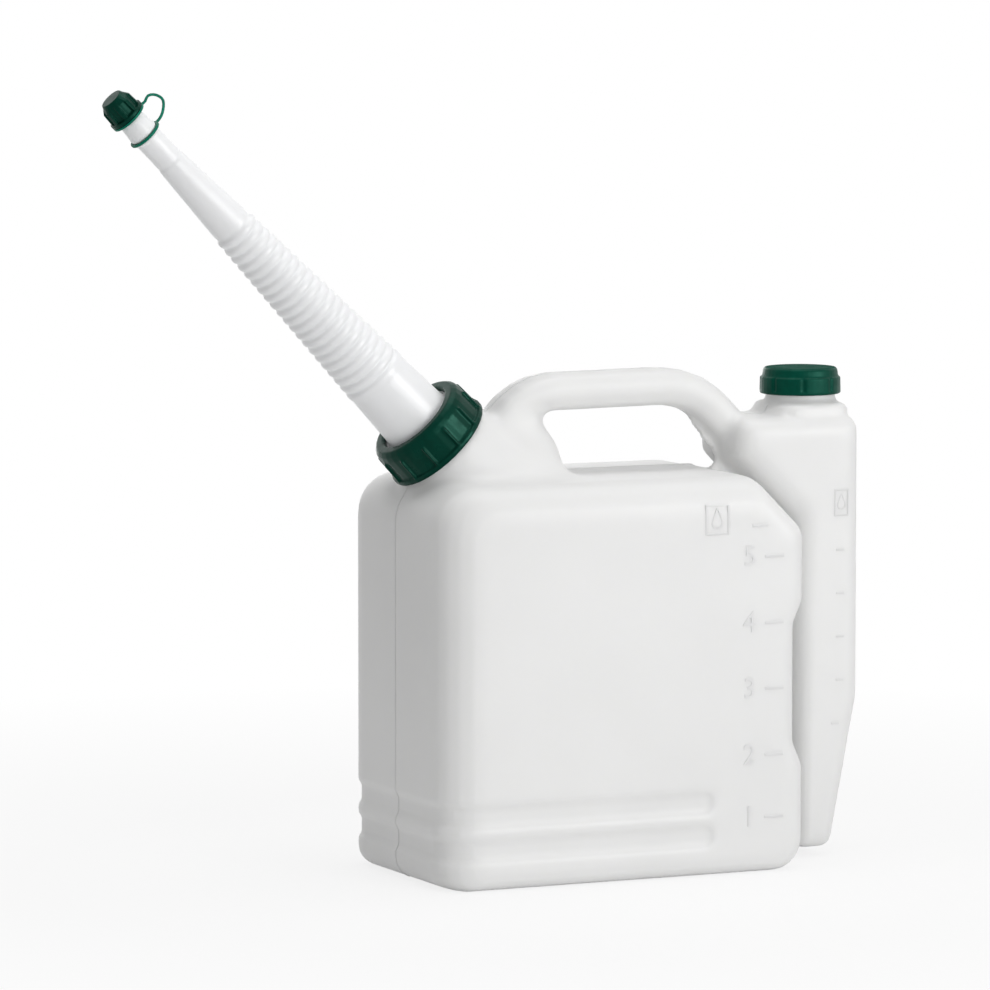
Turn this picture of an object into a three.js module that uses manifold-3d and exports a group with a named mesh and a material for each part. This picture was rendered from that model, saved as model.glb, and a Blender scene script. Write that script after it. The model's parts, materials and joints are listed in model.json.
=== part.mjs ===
// Two-chamber measuring can for fuel and oil, blow-moulded in one piece with a hollow handle,
// with a corrugated pouring spout under a screw collar and a screw cap on the side oil chamber.
// Millimetres, +Z up, +X towards the oil chamber, front face towards -Y.
// The origin is the centre of the main tank's flat base, and y = 0 is the mould's parting plane.

import * as THREE from 'three';
import Module from 'manifold-3d';
import { mergeVertices } from 'three/addons/utils/BufferGeometryUtils.js';

const wasm = await Module();
wasm.setup();

// Walls and running clearances
const wall = 2.0;
const seatGap = 0.3;
const threadClearance = 1.4;
const oilThreadClearance = 0.9;
const discClearance = 0.6;

// Main tank
const tankLength = 216;
const tankDepth = 135;
const tankHeight = 216;
const tankCut = 30;
const leftRounding = 22;
const rightRounding = 12;
const topRounding = 18;
const bottomRounding = 9;
const notchDepth = 5.5;
const notchLow = 64;
const notchHigh = 141;
const notchSlope = 12;

// Where the oil chamber and its neck stand beside the tank
const chamberGap = 14;
const chamberWidth = 39;
const oilNeckInset = 24.3;
const diagonalGap = 15;
const chamberLeft = tankLength / 2 + chamberGap;
const chamberRight = chamberLeft + chamberWidth;
const oilNeckCentre = chamberRight - oilNeckInset;
const diagonalLine = tankLength / 2 + tankHeight - tankCut + diagonalGap;

// Two grip bands near the foot of the tank
const grooveDepth = 1.8;
const grooveHeight = 13;
const lowerGroove = 22.5;
const upperGroove = 40.5;
const grooveEnd = 45;

// Sloping neck for the spout, along its own axis at neckTilt to the vertical
const neckTilt = Math.PI / 4;
const neckFromEnd = 26;
const neckRise = 18.5;
const neckBase = new THREE.Vector3(neckFromEnd - tankLength / 2, 0, tankHeight + neckRise);
const bossRadius = 28.5;
const bossFlare = 4.5;
const bossLength = 46;
const neckRadius = 26;
const neckBore = 22.5;
const neckHeight = 14;

// Handle
const gripThickness = 20;
const gripDepth = 28;
const gripRise = 44.8;
const gripMiddle = tankHeight + gripRise;
const gripCorner = 0.72;
const legFootFront = 50;
const legCorner = 0.88;

// Oil chamber
const chamberDepth = 58;
const chamberRise = 28;
const chamberTop = tankHeight + chamberRise;
const chamberFoot = 5;
const chamberFrontRounding = 12;
const chamberEndRounding = 10;
const chamberFootRounding = 7;
const chamberTaper = 17;
const taperTop = 88;
const chamberReach = 36;
const webThickness = 2.6;
const plinthHeight = 6;
const plinthHalfLength = 21;
const plinthHalfDepth = 24.5;
const plinthCorner = 11;
const plinthChamfer = 2.5;
const oilNeckRadius = 19.2;
const oilNeckBore = 15.7;
const oilNeckHeight = 15.2;

// Screw collar that clamps the spout
const collarHeight = 21.5;
const collarFlange = 31.2;
const collarFlangeHeight = 3;
const collarWall = 2;
const collarHole = 21.4;
const collarFins = 12;

// Spout, measured along the neck axis from the collar's lower rim
const gasketThickness = 1.8;
const flangeThickness = 1.9;
const spoutWall = 1.4;
const spoutBaseRadius = 19.4;
const ribbedStart = 53;
const ribbedEnd = 170;
const ribPitch = 5.57;
const ribStartRadius = 18.2;
const ribEndRadius = 12.2;
const ribDepth = 1.5;
const taperStartRadius = 11;
const taperEnd = 219;
const taperEndRadius = 8;
const ringPlace = 239;
const tipNeckRadius = 8.2;
const tipNeckEndRadius = 7.1;
const tipCapPlace = 254;
const tipRadius = 6.1;
const tipLength = 9.5;

// Tip cap and its tether
const tipCapHeight = 13;
const tipCapFlange = 10.2;
const tipCapFlangeHeight = 1.8;
const tipCapRadius = 8.8;
const tetherRingRadius = 9.5;
const tetherThickness = 1.3;
const tetherWidth = 1.5;
const tetherBulge = 20;

// Oil chamber cap
const oilCapHeight = 14.6;
const oilCapRadius = 22.4;
const oilCapTopRadius = 21;
const oilCapTopTier = 5.5;
const oilCapTopWall = 1.9;
const oilCapPanels = 8;
const oilCapGroove = 2.4;
const oilCapGrooveDepth = 0.8;
const linerThickness = 1.4;

// Materials
const milkyPlastic = new THREE.MeshStandardMaterial({ color: 0xe9eae8, roughness: 0.5, metalness: 0 });
const spoutPlastic = new THREE.MeshStandardMaterial({ color: 0xe2e4e4, roughness: 0.4, metalness: 0 });
const greenPlastic = new THREE.MeshStandardMaterial({ color: 0x0b5238, roughness: 0.35, metalness: 0 });
const sealRubber = new THREE.MeshStandardMaterial({ color: 0x2a2c2b, roughness: 0.8, metalness: 0 });
const sealFoam = new THREE.MeshStandardMaterial({ color: 0xdedcd2, roughness: 0.7, metalness: 0 });

// Solids from closed meshes

function toSolid(geometry) {
  const bare = geometry.index ? geometry.toNonIndexed() : geometry.clone();
  bare.deleteAttribute('normal');
  bare.deleteAttribute('uv');
  const welded = mergeVertices(bare, 1e-4);
  const vertProperties = new Float32Array(welded.attributes.position.array);
  const triVerts = new Uint32Array(welded.index.array);
  return new wasm.Manifold(new wasm.Mesh({ numProp: 3, vertProperties, triVerts }));
}

function toGeometry(solid) {
  const mesh = solid.getMesh();
  const geometry = new THREE.BufferGeometry();
  geometry.setAttribute('position', new THREE.BufferAttribute(new Float32Array(mesh.vertProperties), 3));
  geometry.setIndex(new THREE.BufferAttribute(new Uint32Array(mesh.triVerts), 1));
  geometry.computeVertexNormals();
  return geometry;
}

function unite(solids) {
  return solids.reduce((sum, solid) => sum.add(solid));
}

// Closes a stack of rings with equal point counts into one body, with a flat cap at each end
function loft(rings) {
  const count = rings[0].length;
  const points = rings.flat();
  const faces = [];
  for (let level = 0; level + 1 < rings.length; level += 1) {
    for (let side = 0; side < count; side += 1) {
      const next = (side + 1) % count;
      const a = level * count + side;
      const b = level * count + next;
      const c = (level + 1) * count + next;
      const d = (level + 1) * count + side;
      faces.push(a, b, c, a, c, d);
    }
  }
  capEnd(rings[0], 0, faces, true);
  capEnd(rings[rings.length - 1], (rings.length - 1) * count, faces, false);
  const geometry = new THREE.BufferGeometry();
  const places = points.flatMap((p) => [p.x, p.y, p.z]);
  geometry.setAttribute('position', new THREE.Float32BufferAttribute(places, 3));
  geometry.setIndex(faces);
  return toSolid(geometry);
}

function capEnd(ring, offset, faces, first) {
  const centre = ring.reduce((sum, p) => sum.add(p), new THREE.Vector3()).divideScalar(ring.length);
  const normal = new THREE.Vector3();
  ring.forEach((p, k) => {
    const next = ring[(k + 1) % ring.length];
    normal.add(new THREE.Vector3().crossVectors(p.clone().sub(centre), next.clone().sub(centre)));
  });
  normal.normalize();
  const right = ring[0].clone().sub(centre).normalize();
  const up = new THREE.Vector3().crossVectors(normal, right);
  const flat = ring.map((p) => {
    const from = p.clone().sub(centre);
    return new THREE.Vector2(from.dot(right), from.dot(up));
  });
  for (const [a, b, c] of THREE.ShapeUtils.triangulateShape(flat, [])) {
    if (first) {
      faces.push(offset + a, offset + c, offset + b);
    } else {
      faces.push(offset + a, offset + b, offset + c);
    }
  }
}

// An outline with rounded corners: each corner is [across, up, radius, steps]
function roundedOutline(corners) {
  const outline = [];
  corners.forEach(([x, z, radius, steps], k) => {
    const here = new THREE.Vector2(x, z);
    const before = corners[(k + corners.length - 1) % corners.length];
    const after = corners[(k + 1) % corners.length];
    const inward = new THREE.Vector2(before[0], before[1]).sub(here).normalize();
    const outward = new THREE.Vector2(after[0], after[1]).sub(here).normalize();
    const half = Math.acos(THREE.MathUtils.clamp(inward.dot(outward), -1, 1)) / 2;
    const reach = radius / Math.tan(half);
    const start = here.clone().addScaledVector(inward, reach);
    const end = here.clone().addScaledVector(outward, reach);
    const middle = inward.clone().add(outward).normalize();
    const centre = here.clone().addScaledVector(middle, radius / Math.sin(half));
    const from = start.clone().sub(centre);
    const to = end.clone().sub(centre);
    const turn = Math.atan2(from.cross(to), from.dot(to));
    for (let step = 0; step <= steps; step += 1) {
      const spun = from.clone().rotateAround(new THREE.Vector2(), (turn * step) / steps);
      outline.push(centre.clone().add(spun));
    }
  });
  return outline;
}

// How far an edge of this rounding has drawn in at a distance across from the middle
function drawnIn(rounding, across, halfDepth) {
  const into = Math.max(0, across - (halfDepth - rounding));
  return rounding - Math.sqrt(Math.max(0, rounding * rounding - into * into));
}

// A moulded slab: the outline at each depth comes from outlineAt(across), lofted front to back
function mouldedSlab(outlineAt, halfDepth, largestRounding, steps) {
  const stations = [];
  for (let step = 0; step <= steps; step += 1) {
    stations.push(halfDepth - largestRounding * (1 - Math.sin((Math.PI / 2) * (step / steps))));
  }
  const depths = [...stations.map((y) => -y).reverse(), ...stations];
  const rings = depths.map((y) => outlineAt(Math.abs(y)).map((p) => new THREE.Vector3(p.x, -y, p.y)));
  return loft(rings);
}

// Turned about Z from a closed profile of [radius, height]
function turned(profile, segments) {
  const points = profile.map(([r, z]) => new THREE.Vector2(r, z));
  points.push(points[0].clone());
  const geometry = new THREE.LatheGeometry(points, segments);
  geometry.rotateX(Math.PI / 2);
  return toSolid(geometry);
}

function plate(outline, thickness) {
  const shape = new THREE.Shape(outline);
  const geometry = new THREE.ExtrudeGeometry(shape, { depth: thickness, bevelEnabled: false });
  geometry.rotateX(Math.PI / 2);
  geometry.translate(0, thickness / 2, 0);
  return toSolid(geometry);
}

function alongNeck(solid) {
  return solid.rotate([0, -THREE.MathUtils.radToDeg(neckTilt), 0]).translate(neckBase.toArray());
}

// Main tank: a box with its own rounding on each side, a cut upper right corner and a notched right wall
function tankOutline(inset, across) {
  const halfDepth = tankDepth / 2 - inset;
  const leftIn = drawnIn(leftRounding - inset, across, halfDepth) + inset;
  const rightIn = drawnIn(rightRounding - inset, across, halfDepth) + inset;
  const topIn = drawnIn(topRounding - inset, across, halfDepth) + inset;
  const bottomIn = drawnIn(bottomRounding - inset, across, halfDepth) + inset;
  const left = -tankLength / 2 + leftIn;
  const right = tankLength / 2 - rightIn;
  const top = tankHeight - topIn;
  const bottom = bottomIn;
  const cutLine = tankLength / 2 + tankHeight - tankCut - rightIn * Math.SQRT2;
  const notch = right - notchDepth;
  return roundedOutline([
    [left, bottom, 12 - leftIn * 0.3, 4],
    [right, bottom, 17 - rightIn * 0.4, 5],
    [right, notchLow - notchSlope / 2, 3, 1],
    [notch, notchLow + notchSlope / 2, 3, 1],
    [notch, notchHigh - notchSlope / 2, 3, 1],
    [right, notchHigh + notchSlope / 2, 3, 1],
    [right, cutLine - right, 8, 2],
    [cutLine - top, top, 8, 2],
    [left, top, 22 - leftIn * 0.3, 6],
  ]);
}

function tankSlab(inset) {
  return mouldedSlab((across) => tankOutline(inset, across), tankDepth / 2 - inset, leftRounding - inset, 5);
}

// The space outside the tank's plan, round its left end, between two heights: what a groove takes away
function grooveCutter(middle, height, inset) {
  const depth = grooveDepth + inset;
  const clear = 12;
  const left = -tankLength / 2;
  const half = tankDepth / 2;
  const outer = new THREE.Shape([
    new THREE.Vector2(left - clear, -half - clear),
    new THREE.Vector2(grooveEnd, -half - clear),
    new THREE.Vector2(grooveEnd, half + clear),
    new THREE.Vector2(left - clear, half + clear),
  ]);
  const inner = roundedOutline([
    [left + depth, -half + depth, leftRounding - depth, 6],
    [grooveEnd + clear, -half + depth, 1, 1],
    [grooveEnd + clear, half - depth, 1, 1],
    [left + depth, half - depth, leftRounding - depth, 6],
  ]);
  const band = new THREE.ExtrudeGeometry(outer, { depth: height, bevelEnabled: false });
  band.translate(0, 0, middle - height / 2);
  const core = new THREE.ExtrudeGeometry(new THREE.Shape(inner), { depth: height + 2, bevelEnabled: false });
  core.translate(0, 0, middle - height / 2 - 1);
  const round = new THREE.CylinderGeometry(height / 2, height / 2, tankDepth + 2 * clear, 16);
  round.translate(grooveEnd, 0, middle);
  return toSolid(band).add(toSolid(round)).subtract(toSolid(core));
}

// The sloping boss and neck; its hollow widens below the neck into the tank
function bossSolid() {
  return alongNeck(turned([
    [0, -bossLength],
    [bossRadius + bossFlare, -bossLength],
    [bossRadius + bossFlare, -bossLength * 0.6],
    [bossRadius + bossFlare * 0.4, -bossLength * 0.33],
    [bossRadius, -6],
    [bossRadius, -1.2],
    [neckRadius, -1.2],
    [neckRadius, neckHeight],
    [0, neckHeight],
  ], 32));
}

function bossHollow() {
  return alongNeck(turned([
    [0, -bossLength + wall],
    [bossRadius + bossFlare - wall, -bossLength + wall],
    [bossRadius + bossFlare - wall, -bossLength * 0.6],
    [bossRadius - wall, -bossLength * 0.33],
    [neckBore, -6],
    [neckBore, neckHeight + 1],
    [0, neckHeight + 1],
  ], 32));
}

// The leg that rises from the tank beside the boss and narrows up to the handle: each level's height
// above the tank's top, its two ends' distance from the neck's foot and its half depth
const legLevels = [
  { rise: -12, left: 4, right: 70, half: legFootFront + 2 },
  { rise: -4, left: 6, right: 69, half: legFootFront - 2 },
  { rise: 2, left: 10, right: 69.5, half: gripDepth * 1.29 },
  { rise: 9, left: 15, right: 69.4, half: gripDepth * 0.89 },
  { rise: 17, left: 21, right: 67.2, half: gripDepth * 0.64 },
  { rise: 27, left: 28, right: 60.5, half: gripDepth * 0.52 },
  { rise: 36, left: 34, right: 55, half: gripDepth * 0.46 },
];

function legSolid(inset) {
  const rings = legLevels.map(({ rise, left, right, half }, k) => {
    const a = (right - left) / 2 - inset;
    const b = half - inset;
    const corner = Math.min(a, b) * legCorner;
    const middle = neckBase.x + (left + right) / 2;
    const top = tankHeight + rise;
    const level = k === legLevels.length - 1 ? top - inset : top;
    return roundedOutline([
      [middle - a, -b, corner, 3],
      [middle + a, -b, corner, 3],
      [middle + a, b, corner, 3],
      [middle - a, b, corner, 3],
    ]).map((p) => new THREE.Vector3(p.x, p.y, level));
  });
  return loft(rings);
}

// The grip: one hollow tube from the leg over to the oil chamber's shoulder
function gripRoute() {
  const front = neckBase.x;
  return new THREE.CatmullRomCurve3([
    new THREE.Vector3(front + 30, 0, gripMiddle - 21.8),
    new THREE.Vector3(front + 46, 0, gripMiddle - 6.8),
    new THREE.Vector3(front + 60, 0, gripMiddle - 0.8),
    new THREE.Vector3(front + 82, 0, gripMiddle),
    new THREE.Vector3(chamberLeft - 92, 0, gripMiddle + 0.4),
    new THREE.Vector3(chamberLeft - 67, 0, gripMiddle),
    new THREE.Vector3(chamberLeft - 51, 0, gripMiddle - 5),
    new THREE.Vector3(chamberLeft - 33.5, 0, gripMiddle - 20.5),
    new THREE.Vector3(chamberLeft - 21.5, 0, gripMiddle - 32.5),
  ]);
}

function gripSolid(inset) {
  const a = gripDepth / 2 - inset;
  const b = gripThickness / 2 - inset;
  const corner = b * gripCorner;
  const section = roundedOutline([
    [-a, -b, corner, 2],
    [a, -b, corner, 2],
    [a, b, corner, 2],
    [-a, b, corner, 2],
  ]);
  const geometry = new THREE.ExtrudeGeometry(new THREE.Shape(section), {
    steps: 20,
    bevelEnabled: false,
    extrudePath: gripRoute(),
  });
  return toSolid(geometry);
}

// Oil chamber: a narrow upright flask whose shoulder reaches back over the tank's cut corner

function chamberOutline(inset, across) {
  const halfDepth = chamberDepth / 2 - inset;
  const leftIn = drawnIn(chamberFrontRounding - inset, across, halfDepth) + inset;
  const rightIn = drawnIn(chamberEndRounding - inset, across, halfDepth) + inset;
  const topIn = drawnIn(chamberEndRounding - inset, across, halfDepth) + inset;
  const bottomIn = drawnIn(chamberFootRounding - inset, across, halfDepth) + inset;
  const left = chamberLeft + leftIn;
  const right = chamberRight - rightIn;
  const top = chamberTop - topIn;
  const bottom = chamberFoot + bottomIn;
  const reach = chamberLeft - chamberReach + leftIn;
  const line = diagonalLine + leftIn * Math.SQRT2;
  return roundedOutline([
    [left - leftIn * 0.4, bottom, 5 - leftIn * 0.25, 2],
    [right - chamberTaper + rightIn * 0.4, bottom, 7 - rightIn * 0.4, 3],
    [right, taperTop, 20, 2],
    [right, top, 9 - rightIn * 0.4, 4],
    [reach, top, 8 - leftIn * 0.42, 3],
    [reach, line - reach, 5 - leftIn * 0.2, 2],
    [left, line - left, 14, 3],
  ]);
}

function chamberSlab(inset) {
  const rounding = chamberFrontRounding - inset;
  return mouldedSlab((across) => chamberOutline(inset, across), chamberDepth / 2 - inset, rounding, 4);
}

function plinthSolid(inset) {
  const levels = [
    { z: chamberTop - 12, grow: 0 },
    { z: chamberTop + plinthHeight - plinthChamfer, grow: 0 },
    { z: chamberTop + plinthHeight - inset, grow: -plinthChamfer },
  ];
  const rings = levels.map(({ z, grow }) => {
    const a = plinthHalfLength + grow - inset;
    const b = plinthHalfDepth + grow - inset;
    const corner = plinthCorner - inset + grow;
    return roundedOutline([
      [oilNeckCentre - a, -b, corner, 4],
      [oilNeckCentre + a, -b, corner, 4],
      [oilNeckCentre + a, b, corner, 4],
      [oilNeckCentre - a, b, corner, 4],
    ]).map((p) => new THREE.Vector3(p.x, p.y, z));
  });
  return loft(rings);
}

const oilNeckFoot = chamberTop + plinthHeight;
const oilNeckRim = oilNeckFoot + oilNeckHeight;

function oilNeck(radius, low, high) {
  return turned([[0, low], [radius, low], [radius, high], [0, high]], 32).translate([oilNeckCentre, 0, 0]);
}

// The thin webs left where the mould pinches the two walls together
function webs() {
  const right = tankLength / 2;
  const cutTop = tankLength / 2 + tankHeight - tankCut;
  const between = plate([
    new THREE.Vector2(right - notchDepth - 1.5, 12),
    new THREE.Vector2(chamberLeft + 1.5, 12),
    new THREE.Vector2(chamberLeft + 1.5, diagonalLine - chamberLeft + 3),
    new THREE.Vector2(chamberLeft - chamberReach + 6, diagonalLine - chamberLeft + chamberReach + 6),
    new THREE.Vector2(chamberLeft - 55, tankHeight + 28),
    new THREE.Vector2(chamberLeft - 48.2, tankHeight + 18.1),
    new THREE.Vector2(chamberLeft - 39, tankHeight + 6.8),
    new THREE.Vector2(chamberLeft - 38, tankHeight + 3.2),
    new THREE.Vector2(chamberLeft - 42, tankHeight - 1),
    new THREE.Vector2(chamberLeft - 46, tankHeight - 4),
    new THREE.Vector2(cutTop - tankHeight + 3, tankHeight - 8),
    new THREE.Vector2(right - 3, cutTop - right - 3),
    new THREE.Vector2(right - notchDepth - 1.5, notchHigh + 9),
  ], webThickness);
  const foot = plate([
    new THREE.Vector2(neckBase.x + 64, tankHeight - 4),
    new THREE.Vector2(chamberLeft - 48, tankHeight - 4),
    new THREE.Vector2(chamberLeft - 52, tankHeight + 2.8),
    new THREE.Vector2(neckBase.x + 70, tankHeight + 2.8),
  ], webThickness);
  return between.add(foot);
}

function makeTank() {
  const oilNeckOutside = oilNeck(oilNeckRadius, oilNeckFoot - 3, oilNeckRim);
  const chamber = unite([chamberSlab(0), plinthSolid(0), oilNeckOutside]);
  const outside = unite([tankSlab(0), bossSolid(), legSolid(0), gripSolid(0), chamber, webs()]);
  const grooves = grooveCutter(lowerGroove, grooveHeight, 0).add(grooveCutter(upperGroove, grooveHeight, 0));
  const grooveBacks = grooveCutter(lowerGroove, grooveHeight + 2 * wall, wall)
    .add(grooveCutter(upperGroove, grooveHeight + 2 * wall, wall));
  const tankHollow = tankSlab(wall).subtract(grooveBacks);
  const handleHollow = legSolid(wall).add(gripSolid(wall)).subtract(chamber);
  const chamberHollow = unite([
    chamberSlab(wall),
    plinthSolid(wall),
    oilNeck(oilNeckBore, oilNeckFoot - 8, oilNeckRim + 1),
  ]);
  return outside.subtract(grooves)
    .subtract(unite([tankHollow, bossHollow(), handleHollow]))
    .subtract(chamberHollow);
}

// Heights along the neck: gasket on the rim, spout flange on the gasket, collar's top on the flange
const gasketPlace = neckHeight + seatGap;
const flangePlace = gasketPlace + gasketThickness + seatGap;
const collarSeat = flangePlace + flangeThickness + seatGap;

// Screw collar: base flange, tapering wall with upright fins, rounded shoulder and a hole for the spout
const collarBore = neckRadius + threadClearance;
const collarBody = collarBore + collarWall;

function makeCollar() {
  const shell = turned([
    [collarBore, 0],
    [collarFlange - 0.6, 0],
    [collarFlange, 0.8],
    [collarFlange, collarFlangeHeight],
    [collarBody, collarFlangeHeight + 0.4],
    [collarBody - 0.3, collarHeight - 5],
    [collarBody - 1, collarHeight - 2],
    [collarBody - 3, collarHeight],
    [collarHole + 0.8, collarHeight],
    [collarHole, collarHeight - 0.8],
    [collarHole, collarSeat],
    [collarBore, collarSeat],
  ], 36);
  const fins = [];
  for (let k = 0; k < collarFins; k += 1) {
    const fin = new THREE.Shape([
      new THREE.Vector2(collarBody - 1.4, 1),
      new THREE.Vector2(collarFlange - 0.2, 1),
      new THREE.Vector2(collarFlange - 0.7, collarHeight - 6.5),
      new THREE.Vector2(collarBody - 1.4, collarHeight - 4.5),
    ]);
    const geometry = new THREE.ExtrudeGeometry(fin, { depth: 1.3, bevelEnabled: false });
    geometry.rotateX(Math.PI / 2);
    geometry.translate(0, 0.65, 0);
    geometry.rotateZ((Math.PI * 2 * k) / collarFins);
    fins.push(toSolid(geometry));
  }
  return unite([shell, ...fins]);
}

// Spout: one bellows moulding, from its clamping flange through the ribbed length to the drawn tip

function spoutProfile() {
  const ribs = Math.round((ribbedEnd - ribbedStart) / ribPitch);
  const outside = [
    [collarBore - discClearance, flangePlace],
    [collarBore - discClearance, flangePlace + flangeThickness],
    [spoutBaseRadius + 0.5, flangePlace + flangeThickness],
    [spoutBaseRadius, flangePlace + flangeThickness + 2],
    [ribStartRadius - 0.4, ribbedStart - 1.5],
  ];
  const inside = [
    [spoutBaseRadius - spoutWall, flangePlace],
    [ribStartRadius - 0.4 - spoutWall, ribbedStart - 1.5],
  ];
  for (let k = 0; k < ribs; k += 1) {
    const along = k / (ribs - 1);
    const crest = THREE.MathUtils.lerp(ribStartRadius, ribEndRadius, along);
    const start = THREE.MathUtils.lerp(ribbedStart, ribbedEnd - ribPitch, along);
    outside.push([crest, start + ribPitch * 0.2]);
    outside.push([crest, start + ribPitch * 0.58]);
    outside.push([crest - ribDepth, start + ribPitch * 0.9]);
    inside.push([crest - spoutWall, start + ribPitch * 0.4]);
    inside.push([crest - ribDepth - spoutWall, start + ribPitch * 0.9]);
  }
  outside.push([taperStartRadius, ribbedEnd + 3]);
  outside.push([taperEndRadius, taperEnd]);
  outside.push([taperEndRadius - 0.5, taperEnd + 1.2]);
  outside.push([taperEndRadius - 0.5, ringPlace - 1]);
  outside.push([tipNeckRadius, ringPlace - 1]);
  outside.push([tipNeckRadius, ringPlace]);
  outside.push([tipNeckEndRadius + 0.4, ringPlace]);
  outside.push([tipNeckEndRadius + 0.4, ringPlace + tetherThickness + seatGap * 2]);
  outside.push([tipNeckRadius, ringPlace + tetherThickness + seatGap * 2]);
  outside.push([tipNeckEndRadius, tipCapPlace - 3]);
  outside.push([tipRadius, tipCapPlace - 1.5]);
  outside.push([tipRadius, tipCapPlace + tipLength]);
  inside.push([taperStartRadius - spoutWall, ribbedEnd + 3]);
  inside.push([taperEndRadius - spoutWall - 0.6, taperEnd]);
  inside.push([tipRadius - spoutWall, ringPlace]);
  inside.push([tipRadius - spoutWall, tipCapPlace + tipLength]);
  return [...outside, ...inside.reverse()];
}

function makeSpout() {
  return turned(spoutProfile(), 18);
}

function makeGasket() {
  return turned([
    [neckBore + 0.3, gasketPlace],
    [collarBore - discClearance, gasketPlace],
    [collarBore - discClearance, gasketPlace + gasketThickness],
    [neckBore + 0.3, gasketPlace + gasketThickness],
  ], 28);
}

// Tip cap: a small fluted cap with a chamfered end
function makeTipCap() {
  const bore = tipRadius + 0.4;
  const end = tipCapPlace + tipCapHeight;
  const shell = turned([
    [bore, tipCapPlace],
    [tipCapFlange, tipCapPlace],
    [tipCapFlange, tipCapPlace + tipCapFlangeHeight],
    [tipCapRadius - 1, tipCapPlace + tipCapFlangeHeight + 0.4],
    [tipCapRadius - 1, end - 3.6],
    [tipCapRadius - 2.6, end],
    [0, end],
    [0, tipCapPlace + tipLength + seatGap * 2],
    [bore, tipCapPlace + tipLength + seatGap * 2],
  ], 32);
  const flutes = [];
  const count = 8;
  for (let k = 0; k < count; k += 1) {
    const flute = new THREE.Shape([
      new THREE.Vector2(tipCapRadius - 2.2, tipCapPlace + 0.5),
      new THREE.Vector2(tipCapRadius + 0.5, tipCapPlace + 0.5),
      new THREE.Vector2(tipCapRadius + 0.1, end - 4.4),
      new THREE.Vector2(tipCapRadius - 1.9, end - 1.6),
    ]);
    const geometry = new THREE.ExtrudeGeometry(flute, { depth: 2.4, bevelEnabled: false });
    geometry.rotateX(Math.PI / 2);
    geometry.translate(0, 1.2, 0);
    geometry.rotateZ((Math.PI * 2 * (k + 0.5)) / count);
    flutes.push(toSolid(geometry));
  }
  return unite([shell, ...flutes]);
}

// Tether: a ring in the spout's groove, a springy strap and an eyelet under the cap's flange
function makeTether() {
  const low = ringPlace + seatGap;
  const high = tipCapPlace - seatGap;
  const ring = turned([
    [tipNeckEndRadius + 0.7, low],
    [tetherRingRadius, low],
    [tetherRingRadius, low + tetherThickness],
    [tipNeckEndRadius + 0.7, low + tetherThickness],
  ], 24);
  const eyelet = turned([
    [tipNeckEndRadius + 0.4, high - tetherThickness],
    [tipCapFlange, high - tetherThickness],
    [tipCapFlange, high],
    [tipNeckEndRadius + 0.4, high],
  ], 24);
  const start = low + tetherThickness / 2;
  const end = high - tetherThickness / 2;
  const middle = (start + end) / 2;
  const route = new THREE.CatmullRomCurve3([
    new THREE.Vector3(tetherRingRadius - 0.9, 0, start),
    new THREE.Vector3(tetherRingRadius + 1.6, 0, start - 0.2),
    new THREE.Vector3(tetherBulge - 4.5, 0, start + 1.2),
    new THREE.Vector3(tetherBulge, 0, middle - 1),
    new THREE.Vector3(tetherBulge - 1.2, 0, middle + 4),
    new THREE.Vector3(tetherRingRadius + 6, 0, end),
    new THREE.Vector3(tipCapFlange + 1.8, 0, end - 1),
    new THREE.Vector3(tipCapFlange - 0.9, 0, end - 0.3),
  ]);
  const h = tetherThickness * 0.32;
  const w = tetherWidth / 2;
  const section = new THREE.Shape([
    new THREE.Vector2(-h, -w),
    new THREE.Vector2(h, -w),
    new THREE.Vector2(h, w),
    new THREE.Vector2(-h, w),
  ]);
  const strap = new THREE.ExtrudeGeometry(section, { steps: 18, bevelEnabled: false, extrudePath: route });
  return unite([ring, eyelet, toSolid(strap)]);
}

// Oil chamber cap: a skirt of broad panels parted by grooves, with a smaller, chamfered top tier
const linerPlace = oilNeckRim + seatGap;
const oilCapInside = linerPlace + linerThickness + seatGap;
const oilCapTop = oilCapInside + oilCapTopWall;
const oilCapFoot = oilCapTop - oilCapHeight;

function makeOilCap() {
  const bore = oilNeckRadius + oilThreadClearance;
  const tier = oilCapTop - oilCapTopTier;
  const shell = turned([
    [bore, oilCapFoot],
    [oilCapRadius - 0.6, oilCapFoot],
    [oilCapRadius, oilCapFoot + 0.8],
    [oilCapRadius - 0.2, tier],
    [oilCapTopRadius, tier + 0.8],
    [oilCapTopRadius - 0.5, oilCapTop - 1.2],
    [oilCapTopRadius - 1.6, oilCapTop],
    [0, oilCapTop],
    [0, oilCapInside],
    [bore, oilCapInside],
  ], 48);
  const grooves = [];
  const groovePlace = oilCapRadius - oilCapGrooveDepth + 1;
  for (let k = 0; k < oilCapPanels; k += 1) {
    const geometry = new THREE.BoxGeometry(2, oilCapGroove, oilCapHeight);
    geometry.translate(groovePlace, 0, oilCapFoot + 1.8 + oilCapHeight / 2);
    geometry.rotateZ((Math.PI * 2 * (k + 0.5)) / oilCapPanels);
    grooves.push(toSolid(geometry));
  }
  return shell.subtract(unite(grooves));
}

function makeLiner() {
  return turned([
    [0, linerPlace],
    [oilNeckRadius - 0.3, linerPlace],
    [oilNeckRadius - 0.3, linerPlace + linerThickness],
    [0, linerPlace + linerThickness],
  ], 32);
}

// The assembly: spout pieces stand on the neck's tilted frame, the oil cap on the chamber's upright one

function named(name, solid, material) {
  const mesh = new THREE.Mesh(toGeometry(solid), material);
  mesh.name = name;
  return mesh;
}

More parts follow.
